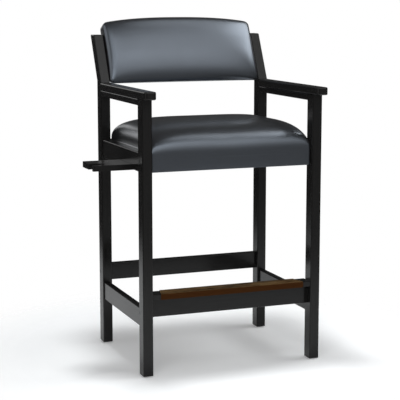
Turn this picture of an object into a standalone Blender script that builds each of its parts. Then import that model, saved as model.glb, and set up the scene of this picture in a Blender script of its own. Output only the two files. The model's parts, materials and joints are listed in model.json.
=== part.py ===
"""A billiard spectator chair: a bar-height hardwood armchair with a padded seat and back.

Two glued side frames are drawn together by cross rails and connector screws. A metal plate
covers the foot rail, and a forked cue rest slides out from under the left side of the seat.

Sizes are in metres, Z is up and the chair faces -Y. Left and right are the viewer's, facing the chair.
Chair coordinates have X = 0 between the legs, Y = 0 at the front faces of the front legs and Z = 0 at the
floor. One empty carries every piece and puts the origin under the middle of the whole chair.
"""
import math

import bmesh
import bpy
from mathutils import Matrix, Vector

# Clearance between pieces that touch, and the looser one of the sliding cue rest
GAP = 0.0003
SLIDE_GAP = 0.0004

# Legs
FRAME_WIDTH = 0.608
LEG_WIDTH = 0.033
LEG_DEPTH = 0.043
LEG_SPACING = 0.432
LEG_ROUND = 0.003
KNEE_Z = 0.897
POST_TOP_Z = 1.053
POST_DEPTH = 0.041
RAKE = math.radians(26.0)

# Foot glides
GLIDE_RADIUS = 0.010
GLIDE_HEIGHT = 0.003
NAIL_RADIUS = 0.0018
NAIL_LENGTH = 0.008

# Arms
ARM_RAIL_LOW = 0.851
ARM_CAP_LOW = 0.8715
ARM_CAP_HIGH = 0.8965
ARM_CAP_FRONT = 0.038
ARM_CAP_SIDE = 0.0025
ARM_RAIL_WIDTH = 0.0315
ARM_ROUND = 0.004
ARM_CORNER = 0.008

# Rails of the side frames
SIDE_RAIL_INSET = 0.004
SEAT_RAIL_WIDTH = 0.029
STRETCHER_WIDTH = 0.022
SEAT_RAIL_LOW = 0.645
SEAT_RAIL_HIGH = 0.706
STRETCHER_LOW = 0.156
STRETCHER_HIGH = 0.215
RAIL_ROUND = 0.0025
TENON_LENGTH = 0.010
TENON_WIDTH = 0.010

# Cross rails: front face, depth, underside and top of each
REAR_STRETCHER = (0.449, 0.022, 0.219, 0.277)
REAR_SEAT_RAIL = (0.434, 0.022, 0.645, 0.706)
FRONT_SEAT_RAIL = (0.0183, 0.020, 0.648, 0.6897)
FOOT_RAIL = (0.026, 0.022, 0.1855, 0.2452)

# Foot tread and its plate
TREAD_FRONT = 0.0018
TREAD_BACK = 0.054
TREAD_LOW = 0.2455
TREAD_HIGH = 0.263
PLATE_THICKNESS = 0.0012
PLATE_LIP = 0.019
PLATE_FRONT_HALF = 0.245
PLATE_BACK_HALF = 0.232
PLATE_BEND = 0.0025

# Seat
DECK_THICKNESS = 0.015
SEAT_HALF = 0.268
SEAT_FRONT = 0.012
SEAT_BACK = 0.428
SEAT_SHOULDER_Z = 0.7205
SEAT_CROWN = 0.0688
SEAT_POWER_ACROSS = 4.4
SEAT_POWER_FRONT = 1.83
SEAT_POWER_REAR = 3.4
SEAT_DRAW_IN = 0.004
SEAT_WRAP = 0.006
CORNER_BLOCK_LEG = 0.048
CORNER_BLOCK_LOW = 0.655

# Back, measured up the raked posts and square to their front faces
BACK_HALF = 0.2685
BACK_BOTTOM = 0.0045
BACK_TOP = 0.238
BACK_ARCH = 0.0185
BACK_CROWN = 0.034
BACK_EDGE = -0.004
BACK_REAR = -0.0275
BACK_DRAW_IN = 0.004
BACK_CORNER = 0.007
BOARD_THICKNESS = 0.018
BOARD_BOTTOM = 0.0145
BOARD_COVER = 0.012
BOARD_SHOULDER = 0.160
BOARD_NECK_HALF = 0.262
PANEL_HALF = 0.2635
PANEL_THICKNESS = 0.010
PANEL_MARGIN = 0.006
PANEL_ROUND = 0.003

# Cue rest
CUE_BOARD_FRONT = 0.112
CUE_BOARD_WIDTH = 0.126
CUE_BOARD_LOW = 0.6435
CUE_BOARD_THICKNESS = 0.018
CUE_BOARD_REACH = 0.126
CUE_BOARD_LENGTH = 0.268
CUE_TRAVEL = 0.110
CUE_SLOT_WIDTH = 0.042
CUE_SLOT_DEPTH = 0.046
CUE_PRONG = 0.013
CUE_CORNER = 0.005
RUNNER_CHEEK = 0.014
RUNNER_GROOVE = 0.010
RUNNER_LEDGE = 0.008
RUNNER_END = 0.012
STOP_RADIUS = 0.005
STOP_HEIGHT = 0.012
STOP_DEPTH = 0.008

# Fasteners: head radius, head height, shank radius and length under the top of the head
FRAME_SCREW = (0.006, 0.002, 0.0032, 0.062)
SEAT_SCREW = (0.0045, 0.0025, 0.0022, 0.042)
BACK_SCREW_STATIONS = (("lower", 0.045), ("upper", 0.130))
FASTENER_STEPS = 12

# Places that follow from the sizes above
HALF = FRAME_WIDTH / 2
INNER = HALF - LEG_WIDTH
REAR_FACE = LEG_SPACING
REAR_BACK = LEG_SPACING + LEG_DEPTH
FOOT_Z = GLIDE_HEIGHT + GAP
POST_RUN = (POST_TOP_Z - KNEE_Z) * math.tan(RAKE)
POST_MIDDLE = -POST_DEPTH * math.cos(RAKE) / 2
RAIL_OUTER = HALF - SIDE_RAIL_INSET
RAIL_INNER = RAIL_OUTER - SEAT_RAIL_WIDTH
SPAN_LOW = LEG_DEPTH + GAP
SPAN_HIGH = REAR_FACE - GAP
CROSS_HALF = INNER - GAP
DECK_LOW = FRONT_SEAT_RAIL[3] + GAP
DECK_HIGH = DECK_LOW + DECK_THICKNESS
SEAT_MIDDLE = (SEAT_FRONT + SEAT_BACK) / 2
SEAT_DEPTH_HALF = (SEAT_BACK - SEAT_FRONT) / 2
DECK_BACK = SEAT_BACK - SEAT_WRAP - GAP
CUE_BOARD_HIGH = CUE_BOARD_LOW + CUE_BOARD_THICKNESS
CUE_BOARD_BACK = CUE_BOARD_FRONT + CUE_BOARD_WIDTH
CUE_OUTER = -RAIL_OUTER - CUE_BOARD_REACH
CUE_INNER = CUE_OUTER + CUE_BOARD_LENGTH
PANEL_FRONT = BACK_REAR - GAP
PANEL_TOP = BACK_TOP - PANEL_MARGIN
CHAIR_REAR = (
    REAR_FACE
    + (PANEL_TOP - PANEL_ROUND) * math.sin(RAKE)
    + (PANEL_THICKNESS - PANEL_FRONT) * math.cos(RAKE)
)
CENTRE_X = (CUE_OUTER + HALF + ARM_CAP_SIDE) / 2
CENTRE_Y = (CHAIR_REAR - ARM_CAP_FRONT) / 2

# Scene start
for leftover in list(bpy.data.objects):
    bpy.data.objects.remove(leftover, do_unlink=True)
PARTS = bpy.data.collections.new("billiard_spectator_chair")
CUTTERS = bpy.data.collections.new("cutters")
bpy.context.scene.collection.children.link(PARTS)
bpy.context.scene.collection.children.link(CUTTERS)


def empty(name, location, rotation, parent):
    """An empty that carries pieces."""
    carrier = bpy.data.objects.new(name, None)
    carrier.location = location
    carrier.rotation_euler = rotation
    carrier.parent = parent
    PARTS.objects.link(carrier)
    return carrier


CHAIR = empty("chair_centre", (-CENTRE_X, -CENTRE_Y, 0.0), (0.0, 0.0, 0.0), None)
BACK_PLANE = empty("back_plane", (0.0, REAR_FACE, KNEE_Z), (math.pi / 2 - RAKE, 0.0, 0.0), CHAIR)
CUE_SLIDE = empty("cue_rest_axis", (CUE_OUTER, CUE_BOARD_FRONT, CUE_BOARD_LOW), (0.0, 0.0, 0.0), CHAIR)


def finish(name, colour, roughness, metallic=0.0):
    """A Principled material of one colour."""
    material = bpy.data.materials.new(name)
    material.use_nodes = True
    shader = material.node_tree.nodes["Principled BSDF"]
    shader.inputs["Base Color"].default_value = (*colour, 1.0)
    shader.inputs["Roughness"].default_value = roughness
    shader.inputs["Metallic"].default_value = metallic
    material.diffuse_color = (*colour, 1.0)
    return material


LACQUER = finish("espresso_lacquer", (0.012, 0.011, 0.011), 0.35)
VINYL = finish("charcoal_vinyl", (0.040, 0.043, 0.048), 0.42)
BRONZE = finish("bronze_plate", (0.130, 0.082, 0.045), 0.35, 1.0)
PLYWOOD = finish("blackened_plywood", (0.020, 0.018, 0.016), 0.70)
BIRCH = finish("bare_hardwood", (0.220, 0.150, 0.090), 0.65)
STEEL = finish("blackened_steel", (0.050, 0.050, 0.052), 0.40, 1.0)
ZINC = finish("zinc_plated_steel", (0.450, 0.450, 0.460), 0.35, 1.0)
NYLON = finish("black_nylon", (0.015, 0.015, 0.015), 0.50)


def add(name, mesh, material, parent=CHAIR, place=None):
    """A named object of the chair, or a hidden cutter where there is no material."""
    piece = bpy.data.objects.new(name, mesh)
    piece.parent = parent
    piece.matrix_local = place if place is not None else Matrix.Identity(4)
    if material is None:
        CUTTERS.objects.link(piece)
        piece.hide_render = True
        piece.display_type = "WIRE"
    else:
        PARTS.objects.link(piece)
        mesh.materials.clear()
        mesh.materials.append(material)
    return piece


def round_edges(piece, width, segments=2, limit="ANGLE"):
    """Round the edges with a Bevel modifier."""
    bevel = piece.modifiers.new("round_" + limit.lower(), "BEVEL")
    bevel.width = width
    bevel.segments = segments
    bevel.limit_method = limit
    return piece


def box(name, low, high, material, parent=CHAIR, round_along=None, width=0.0, segments=2):
    """A block between two corners; its long edges, along one axis, can be rounded."""
    size = Vector(high) - Vector(low)
    shape = bmesh.new()
    bmesh.ops.create_cube(shape, size=1.0)
    bmesh.ops.scale(shape, vec=size, verts=shape.verts)
    if round_along is not None:
        weight = shape.edges.layers.float.new("bevel_weight_edge")
        for edge in shape.edges:
            run = edge.verts[1].co - edge.verts[0].co
            edge[weight] = 1.0 if abs(run[round_along]) > size[round_along] / 2 else 0.0
    mesh = bpy.data.meshes.new(name)
    shape.to_mesh(mesh)
    shape.free()
    piece = add(name, mesh, material, parent, Matrix.Translation((Vector(low) + Vector(high)) / 2))
    if round_along is not None:
        round_edges(piece, width, segments, "WEIGHT")
    return piece


def sided(side, low, high):
    """The corners of a block given for the right side, moved to side -1 (left) or +1 (right)."""
    near = min(side * low[0], side * high[0])
    far = max(side * low[0], side * high[0])
    return (near, low[1], low[2]), (far, high[1], high[2])


def grown(low, high, by):
    """The corners of a block grown on every face."""
    return tuple(value - by for value in low), tuple(value + by for value in high)


def boolean(piece, tool, operation="DIFFERENCE"):
    """Cut a hidden tool out of a piece, or join it on."""
    modifier = piece.modifiers.new(tool.name, "BOOLEAN")
    modifier.operation = operation
    modifier.object = tool
    return piece


def solid_from(temporary):
    """The evaluated mesh of a temporary object, welded and with its flat faces whole."""
    bpy.context.view_layer.update()
    graph = bpy.context.evaluated_depsgraph_get()
    mesh = bpy.data.meshes.new_from_object(temporary.evaluated_get(graph))
    bpy.data.objects.remove(temporary, do_unlink=True)
    shape = bmesh.new()
    shape.from_mesh(mesh)
    bmesh.ops.remove_doubles(shape, verts=shape.verts, dist=0.00001)
    bmesh.ops.dissolve_limit(shape, angle_limit=math.radians(0.5), verts=shape.verts, edges=shape.edges)
    shape.to_mesh(mesh)
    shape.free()
    return mesh


def outline_mesh(name, points, thickness):
    """A flat closed outline in its own XY plane, thickened evenly to both sides."""
    curve = bpy.data.curves.new(name, "CURVE")
    curve.dimensions = "2D"
    curve.fill_mode = "BOTH"
    curve.extrude = thickness / 2
    spline = curve.splines.new("POLY")
    spline.points.add(len(points) - 1)
    for target, (x, y) in zip(spline.points, points):
        target.co = (x, y, 0.0, 1.0)
    spline.use_cyclic_u = True
    temporary = bpy.data.objects.new(name, curve)
    PARTS.objects.link(temporary)
    return solid_from(temporary)


def turned_mesh(name, profile, steps=FASTENER_STEPS):
    """A turned solid from (radius, height) points, top to bottom, about Z."""
    mesh = bpy.data.meshes.new(name)
    points = [(radius, 0.0, height) for radius, height in profile]
    mesh.from_pydata(points, [(i, i + 1) for i in range(len(points) - 1)], [])
    temporary = bpy.data.objects.new(name, mesh)
    PARTS.objects.link(temporary)
    screw = temporary.modifiers.new("turn", "SCREW")
    screw.steps = steps
    screw.render_steps = steps
    screw.use_merge_vertices = True
    screw.merge_threshold = 0.00001
    return solid_from(temporary)


def screw_profile(size, grow):
    """Low round head and shank of a screw, head uppermost at height 0."""
    head_radius, head_height, radius, length = size
    return [
        (0.0, grow),
        (head_radius + grow, grow),
        (head_radius + grow, -head_height - grow),
        (radius + grow, -head_height - grow),
        (radius + grow, -length - grow),
        (0.0, -length - grow),
    ]


def toward_x(side, location):
    """Turn a fastener's Z axis to face sideways, out of the chair, and place its head."""
    return Matrix.Translation(location) @ Matrix.Rotation(side * math.pi / 2, 4, "Y")


def side_name(side):
    """The side's name in node names."""
    return "left" if side < 0 else "right"


# Glides under the legs
def make_glide(name, x, y, leg):
    """A nylon disc on a nail that goes up into the leg."""
    glide = turned_mesh(name, [
        (0.0, GLIDE_HEIGHT + NAIL_LENGTH),
        (NAIL_RADIUS, GLIDE_HEIGHT + NAIL_LENGTH),
        (NAIL_RADIUS, GLIDE_HEIGHT),
        (GLIDE_RADIUS, GLIDE_HEIGHT),
        (GLIDE_RADIUS, GLIDE_HEIGHT / 3),
        (GLIDE_RADIUS * 0.9, 0.0),
        (0.0, 0.0),
    ], steps=16)
    add(name, glide, NYLON, place=Matrix.Translation((x, y, 0.0)))
    hole = turned_mesh(name + "_hole", [
        (0.0, GLIDE_HEIGHT + NAIL_LENGTH + GAP),
        (NAIL_RADIUS + GAP, GLIDE_HEIGHT + NAIL_LENGTH + GAP),
        (NAIL_RADIUS + GAP, 0.0),
        (0.0, 0.0),
    ])
    boolean(leg, add(name + "_hole", hole, None, place=Matrix.Translation((x, y, 0.0))))


# Legs
def make_front_leg(side):
    """A straight post from the glide to the underside of the arm cap."""
    low, high = sided(side, (INNER, 0.0, FOOT_Z), (HALF, LEG_DEPTH, ARM_CAP_LOW - GAP))
    name = "front_leg_" + side_name(side)
    leg = box(name, low, high, LACQUER, round_along=2, width=LEG_ROUND)
    make_glide("glide_front_" + side_name(side), side * (HALF - LEG_WIDTH / 2), LEG_DEPTH / 2, leg)
    return leg


def make_rear_leg(side):
    """A post that is straight to arm height and raked above, sawn from one plank."""
    rear_knee = POST_TOP_Z - (POST_RUN + POST_DEPTH - LEG_DEPTH) / math.tan(RAKE)
    points = [
        (REAR_FACE, FOOT_Z),
        (REAR_BACK, FOOT_Z),
        (REAR_BACK, rear_knee),
        (REAR_FACE + POST_RUN + POST_DEPTH, POST_TOP_Z),
        (REAR_FACE + POST_RUN, POST_TOP_Z),
        (REAR_FACE, KNEE_Z),
    ]
    name = "rear_leg_" + side_name(side)
    across = Matrix(((0, 0, 1, side * (HALF - LEG_WIDTH / 2)), (1, 0, 0, 0), (0, 1, 0, 0), (0, 0, 0, 1)))
    leg = add(name, outline_mesh(name, points, LEG_WIDTH), LACQUER, place=across)
    round_edges(leg, LEG_ROUND)
    make_glide("glide_rear_" + side_name(side), side * (HALF - LEG_WIDTH / 2), REAR_FACE + LEG_DEPTH / 2, leg)
    return leg


# Rails of the side frames
def make_side_rail(name, side, outer, width, low_z, high_z, tenon, front_leg, rear_leg):
    """A rail between a front and a rear leg, with a stub tenon in a mortise at each end."""
    low, high = sided(side, (outer - width, SPAN_LOW, low_z), (outer, SPAN_HIGH, high_z))
    rail = box(name, low, high, LACQUER, round_along=1, width=RAIL_ROUND)
    middle = outer - width / 2
    for end, leg in (("front", front_leg), ("rear", rear_leg)):
        start = SPAN_LOW - TENON_LENGTH if end == "front" else SPAN_HIGH - TENON_LENGTH
        stub = sided(
            side,
            (middle - TENON_WIDTH / 2, start, tenon[0]),
            (middle + TENON_WIDTH / 2, start + 2 * TENON_LENGTH, tenon[1]),
        )
        boolean(rail, box(f"{name}_{end}_tenon", *stub, None), "UNION")
        boolean(leg, box(f"{name}_{end}_mortise", *grown(*stub, GAP), None))
    return rail


def make_arm_cap(side):
    """The forearm board: rounded all round, with rounder front corners, lying on the leg and the rail."""
    low, high = sided(
        side,
        (INNER - ARM_CAP_SIDE, -ARM_CAP_FRONT, ARM_CAP_LOW),
        (HALF + ARM_CAP_SIDE, SPAN_HIGH, ARM_CAP_HIGH),
    )
    cap = box("arm_cap_" + side_name(side), low, high, LACQUER)
    weights = cap.data.attributes.new("bevel_weight_edge", "FLOAT", "EDGE")
    for edge in cap.data.edges:
        ends = [cap.data.vertices[i].co for i in edge.vertices]
        upright = abs(ends[0].z - ends[1].z) > 0
        weights.data[edge.index].value = 1.0 if upright and ends[0].y < 0 else 0.0
    round_edges(cap, ARM_CORNER, 3, "WEIGHT")
    round_edges(cap, ARM_ROUND, 2)
    return cap


# Cross rails and the screws that draw the legs to them
def make_cross_rail(name, section):
    """A rail from leg to leg across the chair."""
    front, depth, low_z, high_z = section
    low = (-CROSS_HALF, front, low_z)
    high = (CROSS_HALF, front + depth, high_z)
    return box(name, low, high, LACQUER, round_along=0, width=RAIL_ROUND)


def make_frame_screw(name, side, rail, leg, height, depth_at, bore_mesh, screw_mesh):
    """One connector screw through a leg into the end of a rail."""
    place = toward_x(side, (side * HALF, depth_at, height))
    bore = add(f"{name}_bore_{side_name(side)}", bore_mesh, None, place=place)
    boolean(leg, bore)
    boolean(rail, bore)
    add(f"{name}_screw_{side_name(side)}", screw_mesh.copy(), STEEL, place=place)


# Foot rail parts
def make_foot_tread():
    """The board that the feet rest on, between the front legs."""
    low = (-CROSS_HALF, TREAD_FRONT, TREAD_LOW)
    high = (CROSS_HALF, TREAD_BACK, TREAD_HIGH)
    return box("foot_tread", low, high, LACQUER, round_along=0, width=PLATE_BEND)


def make_foot_plate():
    """A sheet laid on the tread and bent down over its front, narrower at the back."""
    top = TREAD_HIGH + GAP + PLATE_THICKNESS
    shape = bmesh.new()
    corners = [
        shape.verts.new((x, y, top))
        for x, y in (
            (-PLATE_BACK_HALF, TREAD_BACK),
            (-PLATE_FRONT_HALF, TREAD_FRONT - GAP - PLATE_THICKNESS),
            (PLATE_FRONT_HALF, TREAD_FRONT - GAP - PLATE_THICKNESS),
            (PLATE_BACK_HALF, TREAD_BACK),
        )
    ]
    shape.faces.new(corners)
    front_edge = shape.edges.get(corners[1:3])
    lip = bmesh.ops.extrude_edge_only(shape, edges=[front_edge])
    lip_points = [item for item in lip["geom"] if isinstance(item, bmesh.types.BMVert)]
    bmesh.ops.translate(shape, vec=(0.0, 0.0, -PLATE_LIP), verts=lip_points)
    bmesh.ops.recalc_face_normals(shape, faces=shape.faces)
    mesh = bpy.data.meshes.new("foot_plate")
    shape.to_mesh(mesh)
    shape.free()
    plate = add("foot_plate", mesh, BRONZE)
    round_edges(plate, PLATE_BEND, 3)
    thicken = plate.modifiers.new("sheet", "SOLIDIFY")
    thicken.thickness = PLATE_THICKNESS
    thicken.offset = -1.0 if mesh.polygons[0].normal.z > 0 else 1.0
    return plate


# Seat
def divided_cube(cuts):
    """A cube from -1 to 1 cut into a grid, a different number of times along each axis."""
    shape = bmesh.new()
    bmesh.ops.create_cube(shape, size=2.0)
    for axis, count in enumerate(cuts):
        along = [e for e in shape.edges if abs(e.verts[0].co[axis] - e.verts[1].co[axis]) > 0.01]
        bmesh.ops.subdivide_edges(shape, edges=along, cuts=count, use_grid_fill=True)
    return shape


def eased(value):
    """Spread even steps from -1 to 1 so that they crowd towards both ends."""
    return math.sin(value * math.pi / 2)


def dome(u, v, power_u, power_v):
    """A cushion's crown over a square: 1 in the middle, falling steeply to 0 at the edges."""
    across = max(0.0, 1.0 - abs(u) ** power_u) ** (1.0 / power_u)
    along = max(0.0, 1.0 - abs(v) ** power_v) ** (1.0 / power_v)
    return across * along


def make_seat_cushion():
    """Foam and cover: a pad on the deck, lowest at the rounded front and fullest behind the middle.

    The cover drops down in front of the front rail and over the rear edge of the deck.
    """
    shape = divided_cube((13, 11, 3))
    for vert in shape.verts:
        u, v, w = eased(vert.co.x), eased(vert.co.y), vert.co.z
        rise = (w + 1.0) / 2.0
        pulled = SEAT_DRAW_IN * (1.0 - rise) ** 2
        z = SEAT_RAIL_LOW + rise * (SEAT_SHOULDER_Z - SEAT_RAIL_LOW)
        if w > 0.999:
            z += SEAT_CROWN * dome(u, v, SEAT_POWER_ACROSS, SEAT_POWER_FRONT if v < 0 else SEAT_POWER_REAR)
        vert.co = (u * (SEAT_HALF - pulled), SEAT_MIDDLE + v * SEAT_DEPTH_HALF, z)
    mesh = bpy.data.meshes.new("seat_cushion")
    shape.to_mesh(mesh)
    shape.free()
    cushion = add("seat_cushion", mesh, VINYL)
    room_low = (-2 * SEAT_HALF, SEAT_FRONT + SEAT_WRAP, SEAT_RAIL_LOW - SEAT_WRAP)
    room_high = (2 * SEAT_HALF, DECK_BACK + GAP, DECK_HIGH + GAP)
    boolean(cushion, box("seat_room", room_low, room_high, None))
    under_low = (-2 * SEAT_HALF, SEAT_BACK / 2, SEAT_RAIL_LOW - SEAT_WRAP)
    under_high = (2 * SEAT_HALF, 2 * SEAT_BACK, DECK_LOW)
    boolean(cushion, box("seat_under", under_low, under_high, None))
    return cushion


def make_seat_deck():
    """The plywood board on the front and rear seat rails."""
    low = (-CROSS_HALF, FRONT_SEAT_RAIL[0], DECK_LOW)
    high = (CROSS_HALF, DECK_BACK, DECK_HIGH)
    return box("seat_deck", low, high, PLYWOOD)


def make_corner_block(side, end):
    """A glued three-cornered block under the deck; returns the place of its screw as well."""
    toward = 1.0 if end == "front" else -1.0
    rail_front, rail_depth, _, _ = FRONT_SEAT_RAIL if end == "front" else REAR_SEAT_RAIL
    rail_y = rail_front + rail_depth + GAP if end == "front" else rail_front - GAP
    inside = INNER - GAP
    points = [
        (inside, rail_y),
        (inside, rail_y + toward * CORNER_BLOCK_LEG),
        (inside - CORNER_BLOCK_LEG, rail_y),
    ]
    points = [(side * x, y) for x, y in points]
    name = f"corner_block_{end}_{side_name(side)}"
    height = DECK_LOW - GAP - CORNER_BLOCK_LOW
    centre_z = CORNER_BLOCK_LOW + height / 2
    block = add(name, outline_mesh(name, points, height), BIRCH, place=Matrix.Translation((0, 0, centre_z)))
    middle_x = side * (inside - CORNER_BLOCK_LEG / 4)
    middle_y = rail_y + toward * CORNER_BLOCK_LEG / 2
    return block, (middle_x, middle_y)


def make_seat_base():
    """Deck, corner blocks and the screws that go up through the blocks into the deck."""
    deck = make_seat_deck()
    hole_mesh = turned_mesh("seat_screw_hole", screw_profile(SEAT_SCREW, GAP))
    screw_mesh = turned_mesh("seat_screw", screw_profile(SEAT_SCREW, 0.0))
    for side in (-1, 1):
        for end in ("front", "rear"):
            block, (x, y) = make_corner_block(side, end)
            head = Matrix.Translation((x, y, CORNER_BLOCK_LOW - SEAT_SCREW[1] / 2))
            place = head @ Matrix.Rotation(math.pi, 4, "X")
            label = f"{end}_{side_name(side)}"
            hole = add("seat_screw_hole_" + label, hole_mesh, None, place=place)
            boolean(block, hole)
            boolean(deck, hole)
            add("seat_screw_" + label, screw_mesh.copy(), ZINC, place=place)


# Back
def arch_points(half, top, sag, count):
    """Points of a shallow arch from its right end to its left end."""
    steps = [1.0 - 2.0 * i / count for i in range(count + 1)]
    return [(half * step, top - sag * step * step) for step in steps]


def board_outline(grow):
    """The back board's outline: wide between the posts, narrower and arched above them."""
    wide = CROSS_HALF + grow
    neck = BOARD_NECK_HALF + grow
    shoulder = BOARD_SHOULDER + grow
    arch = arch_points(neck, BACK_TOP - BOARD_COVER + grow, BACK_ARCH, 10)
    return [
        (wide, BOARD_BOTTOM - grow),
        (wide, shoulder),
        (neck, shoulder),
        *arch,
        (-neck, shoulder),
        (-wide, shoulder),
        (-wide, BOARD_BOTTOM - grow),
    ]


def make_back_board():
    """The plywood core that the back bolts hold between the posts."""
    middle = Matrix.Translation((0.0, 0.0, BACK_REAR + BOARD_THICKNESS / 2))
    mesh = outline_mesh("back_board", board_outline(0.0), BOARD_THICKNESS)
    return add("back_board", mesh, PLYWOOD, BACK_PLANE, middle)


def make_back_cushion():
    """Foam and cover on the back board: crowned in front, arched on top, wrapped over the board's edges."""
    shape = divided_cube((13, 9, 3))
    for vert in shape.verts:
        u, v, w = eased(vert.co.x), eased(vert.co.y), vert.co.z
        rise = (w + 1.0) / 2.0
        q = BACK_REAR + rise * (BACK_EDGE - BACK_REAR)
        if w > 0.999:
            q += BACK_CROWN * dome(u, v, 4.0, 2.6)
        top = BACK_TOP - BACK_ARCH * u * u
        s = BACK_BOTTOM + (v + 1.0) / 2.0 * (top - BACK_BOTTOM)
        corner = BACK_CORNER * (u * max(v, 0.0)) ** 12
        pulled = BACK_DRAW_IN * (1.0 - rise) ** 2 + corner
        vert.co = (u * (BACK_HALF - pulled), s - corner, q)
    mesh = bpy.data.meshes.new("back_cushion")
    shape.to_mesh(mesh)
    shape.free()
    cushion = add("back_cushion", mesh, VINYL, BACK_PLANE)
    room = outline_mesh("back_room", board_outline(GAP), 2 * BOARD_THICKNESS)
    place = Matrix.Translation((0.0, 0.0, BACK_REAR + GAP))
    boolean(cushion, add("back_room", room, None, BACK_PLANE, place))
    return cushion


def make_back_rear_panel():
    """The covered panel that closes the back from behind."""
    low = BACK_BOTTOM + PANEL_MARGIN
    points = [(PANEL_HALF, low), *arch_points(PANEL_HALF, PANEL_TOP, BACK_ARCH, 10), (-PANEL_HALF, low)]
    middle = Matrix.Translation((0.0, 0.0, PANEL_FRONT - PANEL_THICKNESS / 2))
    mesh = outline_mesh("back_rear_panel", points, PANEL_THICKNESS)
    return round_edges(add("back_rear_panel", mesh, VINYL, BACK_PLANE, middle), PANEL_ROUND)


def make_back_screws(side, post, board, bore_mesh, screw_mesh):
    """Two screws through a post into the edge of the back board."""
    for label, station in BACK_SCREW_STATIONS:
        y = REAR_FACE + station * math.sin(RAKE) - POST_MIDDLE * math.cos(RAKE)
        z = KNEE_Z + station * math.cos(RAKE) + POST_MIDDLE * math.sin(RAKE)
        place = toward_x(side, (side * HALF, y, z))
        bore = add(f"back_bore_{label}_{side_name(side)}", bore_mesh, None, place=place)
        boolean(post, bore)
        boolean(board, bore)
        add(f"back_screw_{label}_{side_name(side)}", screw_mesh.copy(), STEEL, place=place)


# Cue rest
def cue_slot_outline():
    """The slot that holds a cue: open at the outer end, half round at the inner end."""
    radius = CUE_SLOT_WIDTH / 2
    centre = (CUE_SLOT_DEPTH - radius, CUE_PRONG + radius)
    bend = [
        (centre[0] + radius * math.cos(angle), centre[1] + radius * math.sin(angle))
        for angle in (math.radians(-90 + 180 * i / 10) for i in range(11))
    ]
    return [(-radius, CUE_PRONG), *bend, (-radius, CUE_PRONG + CUE_SLOT_WIDTH)]


def make_cue_rest(left_rail):
    """The forked board, its stop peg, the two grooved runners and the notch in the left seat rail."""
    board_low = (0.0, 0.0, 0.0)
    board_high = (CUE_BOARD_LENGTH, CUE_BOARD_WIDTH, CUE_BOARD_THICKNESS)
    board = box("cue_rest_board", board_low, board_high, LACQUER, CUE_SLIDE)
    weights = board.data.attributes.new("bevel_weight_edge", "FLOAT", "EDGE")
    for edge in board.data.edges:
        ends = [board.data.vertices[i].co for i in edge.vertices]
        upright = abs(ends[0].z - ends[1].z) > 0
        weights.data[edge.index].value = 1.0 if upright and ends[0].x < 0 else 0.0
    round_edges(board, CUE_CORNER, 3, "WEIGHT")
    slot = outline_mesh("cue_slot", cue_slot_outline(), 3 * CUE_BOARD_THICKNESS)
    boolean(board, add("cue_slot", slot, None, CUE_SLIDE))

    stop_x = -RAIL_INNER + SLIDE_GAP + STOP_RADIUS - CUE_OUTER
    stop_place = Matrix.Translation((stop_x, CUE_BOARD_WIDTH / 2, CUE_BOARD_THICKNESS))
    stop = turned_mesh("cue_rest_stop", [
        (0.0, STOP_HEIGHT),
        (STOP_RADIUS, STOP_HEIGHT),
        (STOP_RADIUS, -STOP_DEPTH),
        (0.0, -STOP_DEPTH),
    ])
    add("cue_rest_stop", stop, BIRCH, CUE_SLIDE, stop_place)
    stop_hole = turned_mesh("cue_rest_stop_hole", [
        (0.0, STOP_HEIGHT),
        (STOP_RADIUS + GAP, STOP_HEIGHT),
        (STOP_RADIUS + GAP, -STOP_DEPTH - GAP),
        (0.0, -STOP_DEPTH - GAP),
    ])
    boolean(board, add("cue_rest_stop_hole", stop_hole, None, CUE_SLIDE, stop_place))

    swept_low = (CUE_OUTER, CUE_BOARD_FRONT, CUE_BOARD_LOW)
    swept_high = (CUE_INNER + CUE_TRAVEL, CUE_BOARD_BACK, CUE_BOARD_HIGH)
    channel_low, channel_high = grown(swept_low, swept_high, SLIDE_GAP)
    notch_low = (channel_low[0], channel_low[1], channel_low[2] - CUE_BOARD_THICKNESS)
    boolean(left_rail, box("cue_rail_notch", notch_low, channel_high, None))
    channel = box("cue_channel", channel_low, channel_high, None)
    for end, inner_edge, cheek in (
        ("front", CUE_BOARD_FRONT + RUNNER_GROOVE, -RUNNER_CHEEK - RUNNER_GROOVE),
        ("rear", CUE_BOARD_BACK - RUNNER_GROOVE, RUNNER_CHEEK + RUNNER_GROOVE),
    ):
        near, far = sorted((inner_edge, inner_edge + cheek))
        low = (-RAIL_INNER + GAP, near, CUE_BOARD_LOW - RUNNER_LEDGE)
        high = (CUE_INNER + CUE_TRAVEL + RUNNER_END, far, DECK_LOW - GAP)
        boolean(box("cue_rest_runner_" + end, low, high, BIRCH), channel)


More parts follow.
